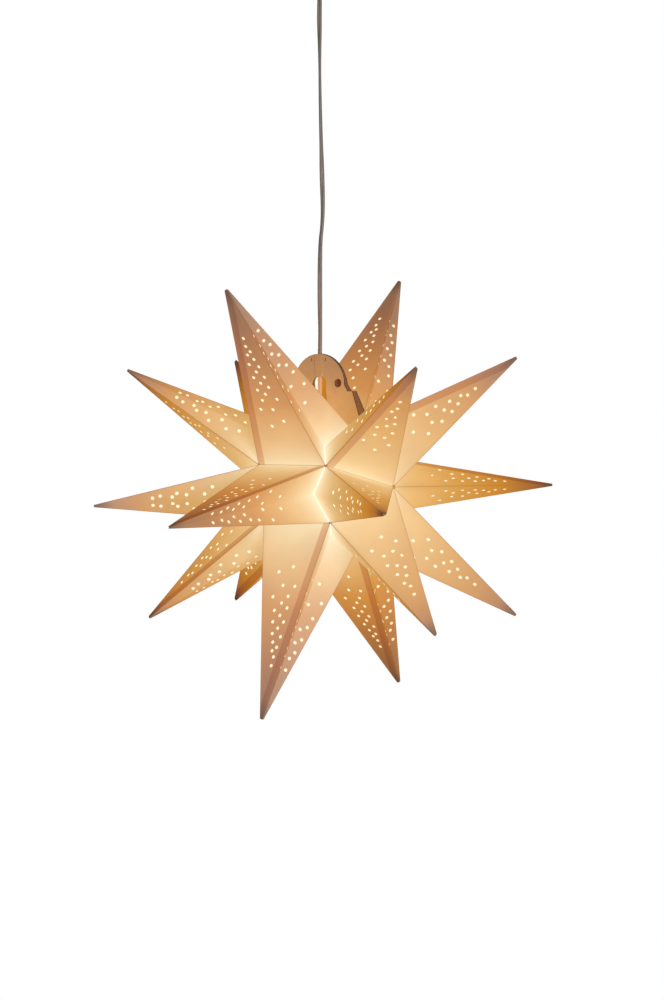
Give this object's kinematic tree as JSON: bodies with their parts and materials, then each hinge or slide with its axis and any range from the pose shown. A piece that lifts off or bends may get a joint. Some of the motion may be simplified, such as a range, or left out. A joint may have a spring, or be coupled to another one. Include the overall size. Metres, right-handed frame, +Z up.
{
  "type": "moravian star pendant",
  "caption": "Pendant light with a folded, punched paper star shade of long pyramid points, hung on a flat flex from a ceiling cup, with a small screw-in lamp inside.",
  "frame": {"origin": "centre of the ceiling face of the mounting plate", "axes": "+Z up, out of the ceiling face; +X along the star shade's own axis, to the right; -Y is the front"},
  "size_m": [0.4297, 0.5929, 0.9197],
  "materials": {
    "shade_paper": "translucent warm paper, punched",
    "stiff_card": "stiff card",
    "cloth_tape": "woven tape",
    "flex_sheath": "taupe flat flex",
    "zinc_steel": "zinc plated",
    "white_nylon": "satin",
    "brass": "bright",
    "screw_steel": "plated",
    "wire_brown": "insulated core",
    "wire_blue": "insulated core",
    "white_plastic": "satin",
    "black_plastic": "satin",
    "white_ceramic": "unglazed",
    "lamp_metal": "plated cap",
    "black_glass": "moulded insulator",
    "lamp_plastic": "satin",
    "opal_globe": "opal diffuser",
    "board": "led board"
  },
  "bodies": {
    "pendant": {"mounting_plate": "zinc_steel", "strap": "zinc_steel", "rivet_left": "zinc_steel", "rivet_right": "zinc_steel", "terminal_block": "white_nylon", "terminal_tube_left": "brass", "terminal_tube_right": "brass", "terminal_screw_left": "screw_steel", "terminal_screw_right": "screw_steel", "ceiling_wire_left": "wire_brown", "ceiling_wire_right": "wire_blue", "cord_gland": "white_nylon", "gland_screw": "screw_steel", "flex": "flex_sheath", "holder_cap": "black_plastic", "holder_screw": "screw_steel", "holder_shell": "black_plastic", "holder_core": "white_ceramic", "holder_thread": "brass", "holder_contact": "brass", "holder_wire_left": "wire_brown", "holder_wire_right": "wire_blue", "card_back": "stiff_card", "hinge_tape": "cloth_tape", "point_back_lower_centre": "shade_paper", "point_back_lower_right": "shade_paper", "point_back_lower_left": "shade_paper", "point_back_middle_centre": "shade_paper", "point_back_middle_right": "shade_paper", "point_back_middle_left": "shade_paper", "point_back_upper_centre": "shade_paper", "point_back_upper_right": "shade_paper", "point_back_upper_left": "shade_paper"},
    "cup": {"ceiling_cup": "white_plastic", "cup_stop": "white_plastic", "cup_stop_screw": "screw_steel"},
    "lamp": {"lamp_cap": "lamp_metal", "lamp_insulator": "black_glass", "lamp_contact": "brass", "lamp_housing": "lamp_plastic", "lamp_globe": "opal_globe", "led_board": "board"},
    "front_shade": {"point_front_upper_centre": "shade_paper", "point_front_upper_right": "shade_paper", "point_front_upper_left": "shade_paper", "point_front_middle_centre": "shade_paper", "point_front_middle_right": "shade_paper", "point_front_middle_left": "shade_paper", "point_front_lower_centre": "shade_paper", "point_front_lower_right": "shade_paper", "point_front_lower_left": "shade_paper", "card_front": "stiff_card"}
  },
  "joints": [
    {"name": "cup_slide", "type": "slide", "parent": "pendant", "child": "cup", "axis": [0, 0, -1], "range_m": [0, 0.12]},
    {"name": "lamp_turn", "type": "hinge", "parent": "pendant", "child": "lamp", "pos_m": [0, 0, -0.655], "axis": [0, 0, 1], "range_deg": [0, 1080]},
    {"name": "shade_open", "type": "hinge", "parent": "pendant", "child": "front_shade", "pos_m": [0.00582, 0.00605, -0.72534], "axis": [0.9996, 0, 0.0267], "range_deg": [0, 35]}
  ]
}
